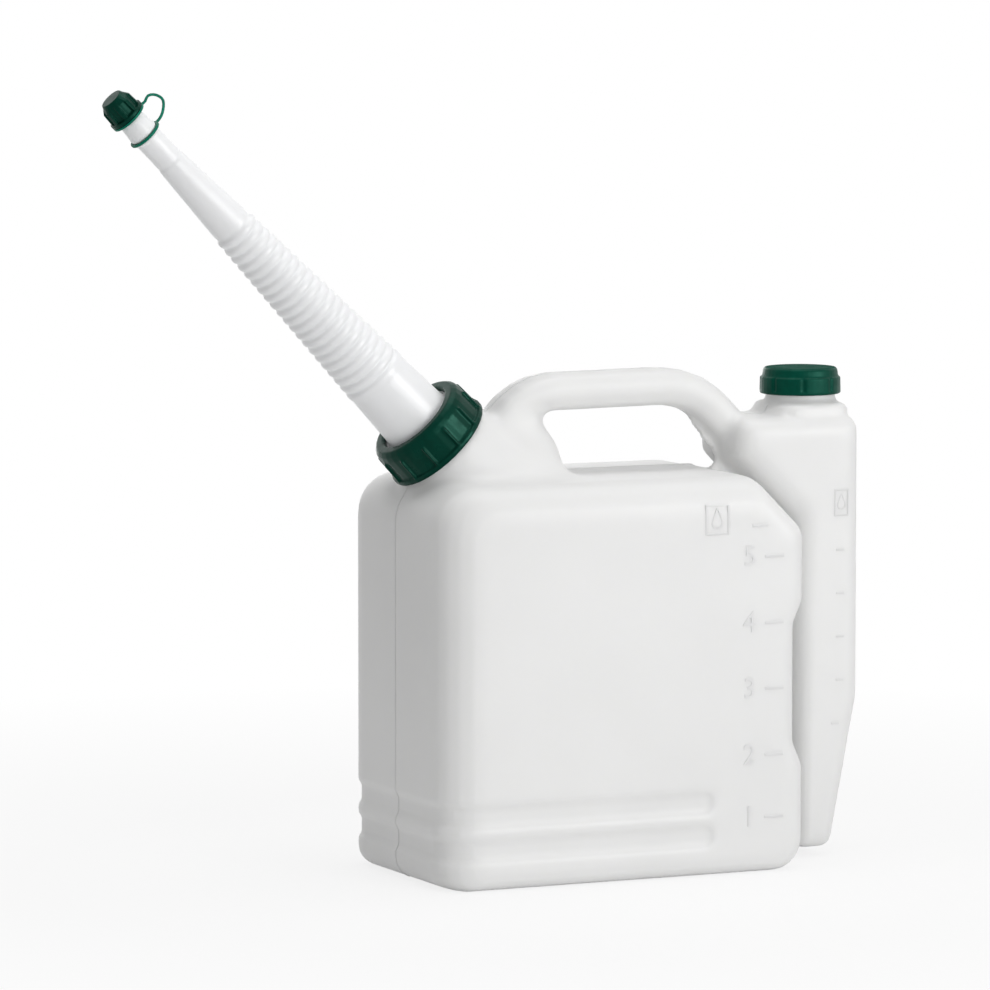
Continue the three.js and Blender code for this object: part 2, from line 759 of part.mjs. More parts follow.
const neckFrame = new THREE.Group();
neckFrame.position.copy(neckBase);
neckFrame.rotation.y = -neckTilt;
neckFrame.add(
  named('spout_collar', makeCollar(), greenPlastic),
  named('spout_gasket', makeGasket(), sealRubber),
  named('spout', makeSpout(), spoutPlastic),
  named('tip_cap', makeTipCap(), greenPlastic),
  named('cap_tether', makeTether(), greenPlastic),
);

const oilNeckFrame = new THREE.Group();
oilNeckFrame.position.set(oilNeckCentre, 0, 0);
oilNeckFrame.add(
  named('chamber_cap', makeOilCap(), greenPlastic),
  named('chamber_cap_liner', makeLiner(), sealFoam),
);

const group = new THREE.Group();
group.add(named('tank', makeTank(), milkyPlastic), neckFrame, oilNeckFrame);

export default group;
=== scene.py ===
"""Looks of a two-chamber fuel and oil measuring can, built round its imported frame.

Each operator makes one piece, or one group of like pieces, where the frame says it is.
"""

import json
import math

import bmesh
import bpy
import numpy as np
from bpy.props import FloatProperty, FloatVectorProperty, IntProperty, PointerProperty
from mathutils import Matrix, Vector
from mathutils.bvhtree import BVHTree
from mathutils.kdtree import KDTree


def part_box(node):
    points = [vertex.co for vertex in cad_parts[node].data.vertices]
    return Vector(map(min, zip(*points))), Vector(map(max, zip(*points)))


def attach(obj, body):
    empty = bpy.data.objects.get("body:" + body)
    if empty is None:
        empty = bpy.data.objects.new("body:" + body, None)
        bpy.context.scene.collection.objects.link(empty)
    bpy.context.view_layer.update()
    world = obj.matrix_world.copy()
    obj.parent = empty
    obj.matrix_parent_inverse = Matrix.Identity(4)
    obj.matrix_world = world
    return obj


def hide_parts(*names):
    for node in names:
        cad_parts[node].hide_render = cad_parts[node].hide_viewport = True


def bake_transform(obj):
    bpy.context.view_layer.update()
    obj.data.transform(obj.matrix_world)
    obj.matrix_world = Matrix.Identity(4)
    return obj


bl_info = {
    "name": "Measuring can looks",
    "version": (1, 0, 0),
    "blender": (4, 5, 0),
    "location": "3D View > Sidebar > Measuring Can",
    "description": "Moulded skins, finishes, scale and stage of a two-chamber measuring can",
    "category": "Object",
}

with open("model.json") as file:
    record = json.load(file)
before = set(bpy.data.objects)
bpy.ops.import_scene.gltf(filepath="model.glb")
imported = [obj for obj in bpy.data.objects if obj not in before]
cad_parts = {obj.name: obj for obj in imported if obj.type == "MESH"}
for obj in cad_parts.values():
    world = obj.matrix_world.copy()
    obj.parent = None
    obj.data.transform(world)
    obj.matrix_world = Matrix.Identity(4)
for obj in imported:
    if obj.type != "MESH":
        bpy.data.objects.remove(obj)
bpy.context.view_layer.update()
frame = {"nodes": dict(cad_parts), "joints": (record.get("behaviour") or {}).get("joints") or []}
MM = 0.001
JOINTS = {joint["name"]: joint for joint in frame["joints"]}

# The sloping neck's axis and foot, and the oil neck's, from the joints of their screw caps
NECK_AXIS = Vector(JOINTS["collar_turn"]["axis"]).normalized()
NECK_BASE = Vector(JOINTS["collar_turn"]["pos_m"])
OIL_NECK_BASE = Vector(JOINTS["oil_cap_turn"]["pos_m"])
UPRIGHT = Vector((0.0, 0.0, 1.0))
ACROSS = Vector((0.0, 1.0, 0.0))


class SkinSettings(bpy.types.PropertyGroup):
    """Sizes of the blow-moulded skin and of what is moulded on it."""

    grain: FloatProperty(
        name="Mesh grain", description="Edge length of the moulded skin",
        default=1.8 * MM, min=0.5 * MM, unit="LENGTH",
    )
    fillet_reach: FloatProperty(
        name="Fillet reach", description="How far the soft hollows spread from where two forms meet",
        default=12 * MM, min=0, unit="LENGTH",
    )
    fillet_passes: IntProperty(
        name="Fillet passes", description="How often the hollows are smoothed",
        default=45, min=0,
    )
    edge_passes: IntProperty(
        name="Edge passes", description="How often the whole skin is smoothed",
        default=4, min=0,
    )
    seam_radius: FloatProperty(
        name="Seam radius", description="Radius of the parting line's raised bead",
        default=0.3 * MM, min=0, unit="LENGTH",
    )
    mark_height: FloatProperty(
        name="Mark height", description="How far the scale stands proud of the wall",
        default=0.22 * MM, min=0, unit="LENGTH",
    )
    figure_size: FloatProperty(
        name="Figure size", description="Height of a litre figure",
        default=11.5 * MM, min=0, unit="LENGTH",
    )


class FinishSettings(bpy.types.PropertyGroup):
    """Colours of the plastics and rubber."""

    milky: FloatVectorProperty(
        name="Milky plastic", description="Colour of the natural polyethylene can",
        default=(0.82, 0.82, 0.815), size=3, min=0, max=1, subtype="COLOR",
    )
    spout: FloatVectorProperty(
        name="Spout plastic", description="Colour of the softer spout moulding",
        default=(0.89, 0.897, 0.905), size=3, min=0, max=1, subtype="COLOR",
    )
    green: FloatVectorProperty(
        name="Cap green", description="Colour of the collar and caps",
        default=(0.0, 0.03, 0.019), size=3, min=0, max=1, subtype="COLOR",
    )
    tether: FloatVectorProperty(
        name="Tether green", description="Colour of the thin tether",
        default=(0.003, 0.17, 0.105), size=3, min=0, max=1, subtype="COLOR",
    )
    rubber: FloatVectorProperty(
        name="Gasket rubber", description="Colour of the sealing ring",
        default=(0.02, 0.02, 0.021), size=3, min=0, max=1, subtype="COLOR",
    )
    foam: FloatVectorProperty(
        name="Liner foam", description="Colour of the sealing disc",
        default=(0.72, 0.71, 0.66), size=3, min=0, max=1, subtype="COLOR",
    )


class StageSettings(bpy.types.PropertyGroup):
    """Camera and light."""

    lens: FloatProperty(
        name="Lens", description="Focal length on a sensor 36 mm wide",
        default=243.6, min=10,
    )
    key_power: FloatProperty(
        name="Key light", description="Power of the large soft lamp at the front right",
        default=11.9, min=0, unit="POWER",
    )
    top_power: FloatProperty(
        name="Top light", description="Power of the soft lamp overhead",
        default=9.5, min=0, unit="POWER",
    )
    side_power: FloatProperty(
        name="Side light", description="Power of the lamp at the right that lights only reflections",
        default=10, min=0, unit="POWER",
    )
    back_power: FloatProperty(
        name="Back light", description="Power of the soft lamp behind, for the far side and the floor there",
        default=5, min=0, unit="POWER",
    )
    sky: FloatProperty(
        name="Sky strength", description="Strength of the even light all round",
        default=0.39, min=0,
    )


# Materials

def new_material(name):
    material = bpy.data.materials.new(name)
    material.use_nodes = True
    nodes = material.node_tree.nodes
    shader = nodes["Principled BSDF"]
    return material, nodes, material.node_tree.links, shader


def noise_at(nodes, links, scale, detail):
    """Noise in the object's own coordinates, in features a metre."""
    coordinates = nodes.new("ShaderNodeTexCoord")
    noise = nodes.new("ShaderNodeTexNoise")
    noise.inputs["Scale"].default_value = scale
    noise.inputs["Detail"].default_value = detail
    links.new(coordinates.outputs["Object"], noise.inputs["Vector"])
    return noise.outputs["Fac"]


def mapped(nodes, links, source, low, high, start=0.3, end=0.7):
    remap = nodes.new("ShaderNodeMapRange")
    remap.inputs["From Min"].default_value = start
    remap.inputs["From Max"].default_value = end
    remap.inputs["To Min"].default_value = low
    remap.inputs["To Max"].default_value = high
    links.new(source, remap.inputs["Value"])
    return remap.outputs["Result"]


def varied_colour(nodes, links, shader, colour, deeper, factor):
    mix = nodes.new("ShaderNodeMix")
    mix.data_type = "RGBA"
    # This node's colour sockets are 6 and 7 in and 2 out
    mix.inputs[6].default_value = (*colour, 1)
    mix.inputs[7].default_value = (*[c * deeper for c in colour], 1)
    links.new(factor, mix.inputs[0])
    links.new(mix.outputs[2], shader.inputs["Base Color"])


def bumped(nodes, links, shader, layers):
    """Chains bump nodes: each layer is a height source, its depth in metres and its strength."""
    before = None
    for height, depth, strength in layers:
        bump = nodes.new("ShaderNodeBump")
        bump.inputs["Distance"].default_value = depth
        bump.inputs["Strength"].default_value = strength
        links.new(height, bump.inputs["Height"])
        if before is not None:
            links.new(before, bump.inputs["Normal"])
        before = bump.outputs["Normal"]
    links.new(before, shader.inputs["Normal"])


def milky_finish(name, colour, roughness, depth, cloud, glow=0.35):
    """Natural polyethylene: light sinks in a little, the wall clouds it, the skin has a faint peel."""
    material, nodes, links, shader = new_material(name)
    clouds = noise_at(nodes, links, cloud, 2)
    varied_colour(nodes, links, shader, colour, 0.955, mapped(nodes, links, clouds, 0, 1))
    peel = noise_at(nodes, links, 1400, 2)
    sag = noise_at(nodes, links, 38, 1)
    links.new(mapped(nodes, links, peel, roughness - 0.04, roughness + 0.06), shader.inputs["Roughness"])
    bumped(nodes, links, shader, [(sag, 0.9 * MM, 0.22), (peel, 0.05 * MM, 0.25)])
    shader.inputs["IOR"].default_value = 1.5
    shader.inputs["Subsurface Weight"].default_value = glow
    shader.inputs["Subsurface Radius"].default_value = (1.0, 1.0, 0.92)
    shader.inputs["Subsurface Scale"].default_value = depth
    return material


def glossy_finish(name, colour, roughness, matt_top=0):
    """Coloured moulded plastic with flow marks and uneven gloss; matt_top roughens what faces up."""
    material, nodes, links, shader = new_material(name)
    flow = noise_at(nodes, links, 160, 3)
    fine = noise_at(nodes, links, 2200, 2)
    varied_colour(nodes, links, shader, colour, 0.72, mapped(nodes, links, flow, 0, 1))
    gloss = mapped(nodes, links, flow, roughness - 0.05, roughness + 0.09)
    coordinates = nodes.new("ShaderNodeTexCoord")
    parts = nodes.new("ShaderNodeSeparateXYZ")
    total = nodes.new("ShaderNodeMath")
    total.operation = "ADD"
    links.new(coordinates.outputs["Normal"], parts.inputs[0])
    links.new(gloss, total.inputs[0])
    links.new(mapped(nodes, links, parts.outputs["Z"], 0, matt_top, 0.8, 0.98), total.inputs[1])
    links.new(total.outputs["Value"], shader.inputs["Roughness"])
    bumped(nodes, links, shader, [(flow, 0.1 * MM, 0.2), (fine, 0.02 * MM, 0.15)])
    shader.inputs["IOR"].default_value = 1.5
    shader.inputs["Specular IOR Level"].default_value = 0.14
    shader.inputs["Specular Tint"].default_value = (0.3, 1, 0.75, 1)
    return material


def matt_finish(name, colour, grain, deeper):
    material, nodes, links, shader = new_material(name)
    spots = noise_at(nodes, links, grain, 4)
    varied_colour(nodes, links, shader, colour, deeper, mapped(nodes, links, spots, 0, 1))
    links.new(mapped(nodes, links, spots, 0.7, 0.9), shader.inputs["Roughness"])
    bumped(nodes, links, shader, [(spots, 0.1 * MM, 0.5)])
    return material


def finish_with(piece, material):
    piece.data.materials.clear()
    piece.data.materials.append(material)


# Mesh tools

def add_object(name, mesh):
    piece = bpy.data.objects.new(name, mesh)
    bpy.context.scene.collection.objects.link(piece)
    return piece


def object_from_bmesh(name, bm):
    mesh = bpy.data.meshes.new(name)
    bm.to_mesh(mesh)
    bm.free()
    return add_object(name, mesh)


def welded_copy(node):
    """A bmesh of a node's solid with its facets' corners joined."""
    bm = bmesh.new()
    bm.from_mesh(frame["nodes"][node].data)
    bmesh.ops.remove_doubles(bm, verts=bm.verts, dist=1e-6)
    return bm


def resampled(name, bm, size):
    """The closed surface in bm as an even mesh of that edge length."""
    source = object_from_bmesh(name + "_source", bm)
    remesh = source.modifiers.new("even", "REMESH")
    remesh.mode = "VOXEL"
    remesh.voxel_size = size
    remesh.use_smooth_shade = True
    ready = source.evaluated_get(bpy.context.evaluated_depsgraph_get())
    mesh = bpy.data.meshes.new_from_object(ready)
    bpy.data.objects.remove(source)
    mesh.name = name
    return add_object(name, mesh)


def points_of(mesh):
    flat = np.zeros(len(mesh.vertices) * 3)
    mesh.vertices.foreach_get("co", flat)
    return flat.reshape(-1, 3)


def relaxed(piece, passes, weights=1.0):
    """Moves every vertex half way to the mean of its neighbours, times its weight for each axis."""
    mesh = piece.data
    points = points_of(mesh)
    edges = np.zeros(len(mesh.edges) * 2, np.int64)
    mesh.edges.foreach_get("vertices", edges)
    a, b = edges[0::2], edges[1::2]
    count = len(points)
    degree = np.bincount(a, minlength=count) + np.bincount(b, minlength=count)
    share = 0.5 * weights
    for _ in range(passes):
        mean = np.empty_like(points)
        for axis in range(3):
            total = np.bincount(a, points[b, axis], count) + np.bincount(b, points[a, axis], count)
            mean[:, axis] = total / degree
        points += (mean - points) * share
    mesh.vertices.foreach_set("co", points.ravel())
    mesh.update()


def smooth_shaded(piece):
    piece.data.polygons.foreach_set("use_smooth", [True] * len(piece.data.polygons))
    piece.data.update()


def section_loops(bm, origin, normal):
    """The closed loops where a plane cuts a surface, each a list of points in order."""
    geometry = list(bm.verts) + list(bm.edges) + list(bm.faces)
    cut = bmesh.ops.bisect_plane(bm, geom=geometry, plane_co=origin, plane_no=normal, dist=1e-7)
    edges = [e for e in cut["geom_cut"] if isinstance(e, bmesh.types.BMEdge)]
    joined = {}
    for edge in edges:
        for here, there in (edge.verts, reversed(edge.verts)):
            joined.setdefault(here, []).append(there)
    loops = []
    left = set(joined)
    while left:
        start = min(left, key=lambda v: (round(v.co.x, 6), round(v.co.z, 6), round(v.co.y, 6)))
        loop, before, here = [start], None, start
        left.discard(start)
        while True:
            ways = [v for v in joined[here] if v is not before and v in left]
            if not ways:
                break
            before, here = here, ways[0]
            left.discard(here)
            loop.append(here)
        if len(loop) > 2:
            loops.append([v.co.copy() for v in loop])
    return loops


def meridian(node, base, axis):
    """A turned node's profile as (radius, height) pairs, from its solid."""
    bm = welded_copy(node)
    side = axis.cross(ACROSS).normalized()
    loops = section_loops(bm, base, side)
    bm.free()
    loop = max((p for p in loops if sum(c.y for c in p) > 0), key=len)
    return [((p - base).dot(ACROSS), (p - base).dot(axis)) for p in loop]


def rounded(profile, reach, steps):
    """The profile with each corner drawn as a short curve that starts within reach of it."""
    most_of_side = 0.46
    made = []
    count = len(profile)
    for k, corner in enumerate(profile):
        corner = Vector(corner)
        before, after = Vector(profile[k - 1]), Vector(profile[(k + 1) % count])
        into, out = before - corner, after - corner
        start = corner + into.normalized() * min(reach, into.length * most_of_side)
        end = corner + out.normalized() * min(reach, out.length * most_of_side)
        for step in range(steps + 1):
            t = step / steps
            made.append(start * (1 - t) ** 2 + corner * 2 * t * (1 - t) + end * t ** 2)
    return made


def revolved(name, profile, base, axis, segments):
    """A closed profile turned about an axis."""
    turn = UPRIGHT.rotation_difference(axis).to_matrix()
    verts = []
    for k in range(segments):
        angle = 2 * math.pi * k / segments
        for radius, height in profile:
            local = Vector((radius * math.cos(angle), radius * math.sin(angle), height))
            verts.append(base + turn @ local)
    count = len(profile)
    faces = []
    for k in range(segments):
        n = (k + 1) % segments
        for j in range(count):
            m = (j + 1) % count
            faces.append((k * count + j, n * count + j, n * count + m, k * count + m))
    mesh = bpy.data.meshes.new(name)
    mesh.from_pydata([tuple(v) for v in verts], [], faces)
    bm = bmesh.new()
    bm.from_mesh(mesh)
    bmesh.ops.recalc_face_normals(bm, faces=bm.faces)
    bm.to_mesh(mesh)
    bm.free()
    piece = add_object(name, mesh)
    smooth_shaded(piece)
    return piece


def bead_along(name, paths, radius, sides=3):
    """Round beads that follow the given paths, as one mesh."""
    curve = bpy.data.curves.new(name + "_paths", "CURVE")
    curve.dimensions = "3D"
    curve.bevel_depth = radius
    curve.bevel_resolution = sides
    curve.use_fill_caps = True
    for path in paths:
        spline = curve.splines.new("POLY")
        spline.points.add(len(path) - 1)
        for point, place in zip(spline.points, path):
            point.co = (*place, 1)
    source = add_object(name + "_source", curve)
    ready = source.evaluated_get(bpy.context.evaluated_depsgraph_get())
    mesh = bpy.data.meshes.new_from_object(ready)
    bpy.data.objects.remove(source)
    mesh.name = name
    piece = add_object(name, mesh)
    smooth_shaded(piece)
    return piece


# The can's skin

def outer_skin(node):
    """The solid's outside alone: faces that see almost nothing but their own walls go, and the gaps close."""
    bm = welded_copy(node)
    bm.normal_update()
    tree = BVHTree.FromBMesh(bm)
    golden = math.pi * (3 - math.sqrt(5))
    rays, most_glimpses = 48, 1
    clear_of_face = 1e-5
    hidden = []
    for face in bm.faces:
        centre = face.calc_center_median()
        normal = face.normal
        side = normal.orthogonal().normalized()
        other = normal.cross(side)
        seen = 0
        for k in range(rays):
            height = (k + 0.5) / rays
            ring = math.sqrt(1 - height * height)
            angle = golden * k
            ray = normal * height + side * (ring * math.cos(angle)) + other * (ring * math.sin(angle))
            if tree.ray_cast(centre + normal * clear_of_face, ray)[0] is None:
                seen += 1
        if seen <= most_glimpses:
            hidden.append(face)
    bmesh.ops.delete(bm, geom=hidden, context="FACES")
    # Of what is left, only the largest connected part is the outside
    bm.verts.ensure_lookup_table()
    parts, unseen = [], set(bm.faces)
    while unseen:
        stack = [unseen.pop()]
        part = list(stack)
        while stack:
            for edge in stack.pop().edges:
                for face in edge.link_faces:
                    if face in unseen:
                        unseen.discard(face)
                        stack.append(face)
                        part.append(face)
        parts.append(part)
    parts.sort(key=len)
    spare = [face for part in parts[:-1] for face in part]
    bmesh.ops.delete(bm, geom=spare, context="FACES")
    edges = [e for e in bm.edges if len(e.link_faces) == 1]
    bmesh.ops.holes_fill(bm, edges=edges, sides=0)
    bmesh.ops.triangulate(bm, faces=bm.faces)
    bmesh.ops.recalc_face_normals(bm, faces=bm.faces)
    return bm


def crease_points(bm, left, right):
    """Points along the hollows between moulded forms above the tank's wall, from left to right."""
    wall_top, web_half = 200 * MM, 3.5 * MM
    collar_line, neck_reach = -4 * MM, 50 * MM
    hollow_angle = -0.3
    spacing = 2 * MM
    points = []
    bm.normal_update()
    for edge in bm.edges:
        if len(edge.link_faces) != 2 or edge.calc_face_angle_signed(0) > hollow_angle:
            continue
        a, b = (v.co for v in edge.verts)
        middle = (a + b) / 2
        from_neck = middle - NECK_BASE
        on_neck = from_neck.dot(NECK_AXIS) > collar_line and from_neck.length < neck_reach
        if not left < middle.x < right or middle.z < wall_top or abs(middle.y) < web_half or on_neck:
            continue
        steps = max(1, int((b - a).length / spacing))
        points.extend(a.lerp(b, k / steps) for k in range(steps + 1))
    return points


def near_weights(points, targets, reach):
    """1 on the targets, falling smoothly to 0 at reach."""
    tree = KDTree(len(targets))
    for k, place in enumerate(targets):
        tree.insert(place, k)
    tree.balance()
    distance = np.array([tree.find(p)[2] for p in points])
    t = np.clip(1 - distance / reach, 0, 1)
    return t * t * (3 - 2 * t)


def edge_softness(points):
    """How soft the mould left the edges: crisper on the grip bands, the handle and the oil neck's foot."""
    band_top, handle_foot, chamber_top = 58 * MM, 250 * MM, 236 * MM
    chamber_left = 100 * MM
    crisp = (points[:, 0] > chamber_left) & (points[:, 2] > chamber_top)
    crisp |= points[:, 2] > handle_foot
    crisp |= points[:, 2] < band_top
    return np.where(crisp, 0.12, 1.0)


def spread(points, weight):
    """The weight for each axis: thin webs near the parting plane keep their thickness."""
    web_half = 1.6 * MM
    gentle = np.clip((np.abs(points[:, 1]) - web_half) / web_half, 0, 1)
    return np.stack((weight, weight * gentle, weight), axis=1)


# Hollows left of GRIP_START are the neck's and left leg's, those from there to GRIP_END the right leg's
GRIP_START, GRIP_END = 0, 112 * MM
# The right leg's hollows are tighter than the left leg's, which are as wide as the settings say
TIGHTER, FEWER = 0.6, 3


class CAN_OT_tank(bpy.types.Operator):
    """Moulded skin of the tank, handle and oil chamber, with soft hollows where its forms meet"""

    bl_idname = "can.build_tank"
    bl_label = "Tank skin"

    def execute(self, context):
        settings = context.scene.can_skin
        colours = context.scene.can_finish
        bm = outer_skin("tank")
        leg_creases = crease_points(bm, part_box("tank")[0].x, GRIP_START)
        grip_creases = crease_points(bm, GRIP_START, GRIP_END)
        tank = resampled("tank_skin", bm, settings.grain)
        points = points_of(tank.data)
        leg = near_weights(points, leg_creases, settings.fillet_reach)
        relaxed(tank, settings.fillet_passes, spread(points, leg))
        grip = near_weights(points, grip_creases, settings.fillet_reach * TIGHTER)
        relaxed(tank, settings.fillet_passes // FEWER, spread(points, grip))
        relaxed(tank, settings.edge_passes, spread(points, edge_softness(points)))
        smooth_shaded(tank)
        milky = milky_finish("milky polyethylene", colours.milky, 0.5, 6 * MM, 9)
        finish_with(tank, milky)
        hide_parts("tank")
        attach(tank, "can")
        return {"FINISHED"}


def bare_of_seam(place):
    """Whether the parting line leaves this place free: on the two necks and under the foot."""
    neck_reach, oil_neck_reach = 50 * MM, 25 * MM
    from_neck = place - NECK_BASE
    on_neck = from_neck.dot(NECK_AXIS) > -1.5 * MM and from_neck.length < neck_reach
    on_oil_neck = place.z > OIL_NECK_BASE.z - 1 * MM and abs(place.x - OIL_NECK_BASE.x) < oil_neck_reach
    return on_neck or on_oil_neck or place.z < 0.8 * MM


class CAN_OT_seam(bpy.types.Operator):
    """Raised parting line all round the moulding"""

    bl_idname = "can.build_seam"
    bl_label = "Parting line"

    def execute(self, context):
        settings = context.scene.can_skin
        bm = bmesh.new()
        bm.from_mesh(bpy.data.objects["tank_skin"].data)
        loops = section_loops(bm, Vector((0, 0, 0)), ACROSS)
        bm.free()
        paths = []
        for loop in loops:
            run = []
            for place in loop + loop[:1]:
                if bare_of_seam(place):
                    if len(run) > 2:
                        paths.append(run)
                    run = []
                else:
                    run.append(place)
            if len(run) > 2:
                paths.append(run)
        seam = bead_along("parting_line", paths, settings.seam_radius, sides=2)
        finish_with(seam, bpy.data.materials["milky polyethylene"])
        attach(seam, "can")
        return {"FINISHED"}


# The scales, in millimetres on the front wall. Litre marks: (litres, height of the line)
LITRE_LINES = [(1, 31), (2, 65), (3, 101), (4, 137), (5, 173)]
TICK_CENTRE = 86.5
TICK_SIZE = (11.5, 1.6)
FIGURE_CENTRE = 71.5
# The line above the last litre: centre, then width and height
SHORT_TICK = (77.7, 190, 9.5, 1.6)
# The oil chamber's lines, which follow the slope of its foot
CHAMBER_FACE = -29
CHAMBER_TICKS = [170, 146, 122, 98, 74]
CHAMBER_TICK_CENTRE = 147
CHAMBER_TICK_SIZE = (5, 1.2)
CHAMBER_TAPER_TOP, CHAMBER_TAPER = 88, 0.2
# Drop signs: the frame's centre, size and line, the drop's height and line, and how far both stand proud as a
# share of the scale's own
TANK_SIGN = ((51.7, 194), (14.4, 16.5), 1.1, 11.5, 1.0, 0.55)
CHAMBER_SIGN = ((147.5, 196), (9, 15), 1.0, 9, 0.9, 0.7)
# How deep a mark's foot reaches into the wall
SUNK = 0.3 * MM


def bar(bm, centre_x, centre_z, width, height, face_y, proud):
    """A slim raised bar on a wall that faces the front, its edges drawn in a little."""
    corners = [(-1, -1), (1, -1), (1, 1), (-1, 1)]
    draft = min(width, height) * 0.2
    rings = []
    for y, inset in ((face_y + SUNK, 0), (face_y - proud * 0.6, 0), (face_y - proud, draft)):
        ring = []
        for sx, sz in corners:
            x = centre_x * MM + sx * (width * MM / 2 - inset * MM)
            z = centre_z * MM + sz * (height * MM / 2 - inset * MM)
            ring.append(bm.verts.new((x, y, z)))
        rings.append(ring)
    for under, over in zip(rings, rings[1:]):
        for k in range(4):
            n = (k + 1) % 4
            bm.faces.new((under[k], under[n], over[n], over[k]))
    bm.faces.new(rings[-1])
    bm.faces.new(list(reversed(rings[0])))


def frame_bars(bm, centre, size, line, face_y, proud):
    """A rectangular outline of four bars."""
    (x, z), (width, height) = centre, size
    for side in (-1, 1):
        bar(bm, x, z + side * (height - line) / 2, width, line, face_y, proud)
        bar(bm, x + side * (width - line) / 2, z, line, height - 2 * line, face_y, proud)


def drop_outline(centre, height, steps=28):
    """A drop: round below and pointed above."""
    x, z = centre
    radius = height * 0.3
    middle = z - height * 0.16
    outline = []
    for k in range(steps):
        angle = math.pi * (-1.5 + 2 * k / steps)
        lift = max(0.0, math.sin(angle)) ** 3 * height * 0.42
        squeeze = 1 - 0.35 * max(0.0, math.sin(angle)) ** 2
        outline.append((x + radius * math.cos(angle) * squeeze, middle + radius * math.sin(angle) + lift))
    return outline


def drop_loop(bm, centre, height, line, face_y, proud):
    """A drop drawn as a raised line."""
    outer = drop_outline(centre, height)
    inner = drop_outline(centre, height - 2.4 * line)
    levels = (face_y + SUNK, face_y - proud)
    rings = []
    for outline in (outer, inner):
        for y in levels:
            rings.append([bm.verts.new((px * MM, y, pz * MM)) for px, pz in outline])
    outer_low, outer_high, inner_low, inner_high = rings
    count = len(outer)
    for k in range(count):
        n = (k + 1) % count
        bm.faces.new((outer_low[k], outer_low[n], outer_high[n], outer_high[k]))
        bm.faces.new((inner_high[k], inner_high[n], inner_low[n], inner_low[k]))
        bm.faces.new((outer_high[k], outer_high[n], inner_high[n], inner_high[k]))
        bm.faces.new((outer_low[n], outer_low[k], inner_low[k], inner_low[n]))


def drop_sign(bm, sign, face_y, proud):
    """A raised drop in its frame."""
    centre, size, frame_line, drop_height, drop_line, share = sign
    frame_bars(bm, centre, size, frame_line, face_y, proud * share)
    drop_loop(bm, centre, drop_height, drop_line, face_y, proud * share)


def figure_meshes(bm, face_y, size, proud):
    """The litre figures, in a plain upright type."""
    type_size = size * 1.4
    for litres, height in LITRE_LINES:
        text = bpy.data.curves.new("figure", "FONT")
        text.body = str(litres)
        text.size = type_size
        text.extrude = proud
        text.bevel_depth = proud * 0.3
        text.align_x = "CENTER"
        text.align_y = "CENTER"
        source = add_object("figure_source", text)
        ready = source.evaluated_get(bpy.context.evaluated_depsgraph_get())
        mesh = bpy.data.meshes.new_from_object(ready)
        bpy.data.objects.remove(source)
        place = Matrix.Translation((FIGURE_CENTRE * MM, face_y, height * MM))
        mesh.transform(place @ Matrix.Rotation(math.pi / 2, 4, "X"))
        bm.from_mesh(mesh)
        bpy.data.meshes.remove(mesh)


class CAN_OT_scale(bpy.types.Operator):
    """Raised litre lines, figures and drop signs on the two front walls"""

    bl_idname = "can.build_scale"
    bl_label = "Scale"

    def execute(self, context):
        settings = context.scene.can_skin
        colours = context.scene.can_finish
        proud = settings.mark_height
        tank_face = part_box("tank")[0].y
        chamber_face = CHAMBER_FACE * MM
        bm = bmesh.new()
        for _, height in LITRE_LINES:
            bar(bm, TICK_CENTRE, height, *TICK_SIZE, tank_face, proud)
        bar(bm, *SHORT_TICK, tank_face, proud)
        drop_sign(bm, TANK_SIGN, tank_face, proud)
        drop_sign(bm, CHAMBER_SIGN, chamber_face, proud)
        for height in CHAMBER_TICKS:
            centre = CHAMBER_TICK_CENTRE - max(0, CHAMBER_TAPER_TOP - height) * CHAMBER_TAPER
            bar(bm, centre, height, *CHAMBER_TICK_SIZE, chamber_face, proud)
        figure_meshes(bm, tank_face, settings.figure_size, proud)
        bmesh.ops.recalc_face_normals(bm, faces=bm.faces)
        marks = object_from_bmesh("scale_marks", bm)
        # Painted shade: the raised marks are coloured a trace darker than the wall, standing in for the
        # shading along their edges
        shade = [c * 0.99 for c in colours.milky]
        finish_with(marks, milky_finish("milky polyethylene marks", shade, 0.45, 3 * MM, 30))
        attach(marks, "can")
        return {"FINISHED"}


# Each thread: the neck's radius, the thread's lowest and highest point, its pitch and its bead's radius
NECK_THREAD = (26 * MM, 2.5 * MM, 11.5 * MM, 5 * MM, 0.8 * MM)
OIL_NECK_THREAD = (19.2 * MM, 4.5 * MM, 12.5 * MM, 4 * MM, 0.6 * MM)


def thread(name, base, axis, sizes, body, material):
    """A helical bead round a neck, sunk in by more at its two ends."""
    radius, low, high, pitch, bead = sizes
    sunk, rise = 0.6, 0.35
    steps_a_turn, run_out = 48, 8
    turn = UPRIGHT.rotation_difference(axis).to_matrix()
    turns = (high - low) / pitch
    steps = int(turns * steps_a_turn)
    path = []
    for k in range(steps + 1):
        angle = 2 * math.pi * turns * k / steps
        fade = min(1, k / run_out, (steps - k) / run_out)
        out = radius + bead * (rise * fade - sunk)
        local = Vector((out * math.cos(angle), out * math.sin(angle), low + (high - low) * k / steps))
        path.append(base + turn @ local)
    piece = bead_along(name, [path], bead)
    finish_with(piece, material)
    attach(piece, body)


class CAN_OT_threads(bpy.types.Operator):
    """Screw threads on the two necks, seen once the caps are off"""

    bl_idname = "can.build_threads"
    bl_label = "Threads"

    def execute(self, context):
        milky = bpy.data.materials["milky polyethylene"]
        thread("neck_thread", NECK_BASE, NECK_AXIS, NECK_THREAD, "can", milky)
        thread("oil_neck_thread", OIL_NECK_BASE, UPRIGHT, OIL_NECK_THREAD, "can", milky)
        return {"FINISHED"}


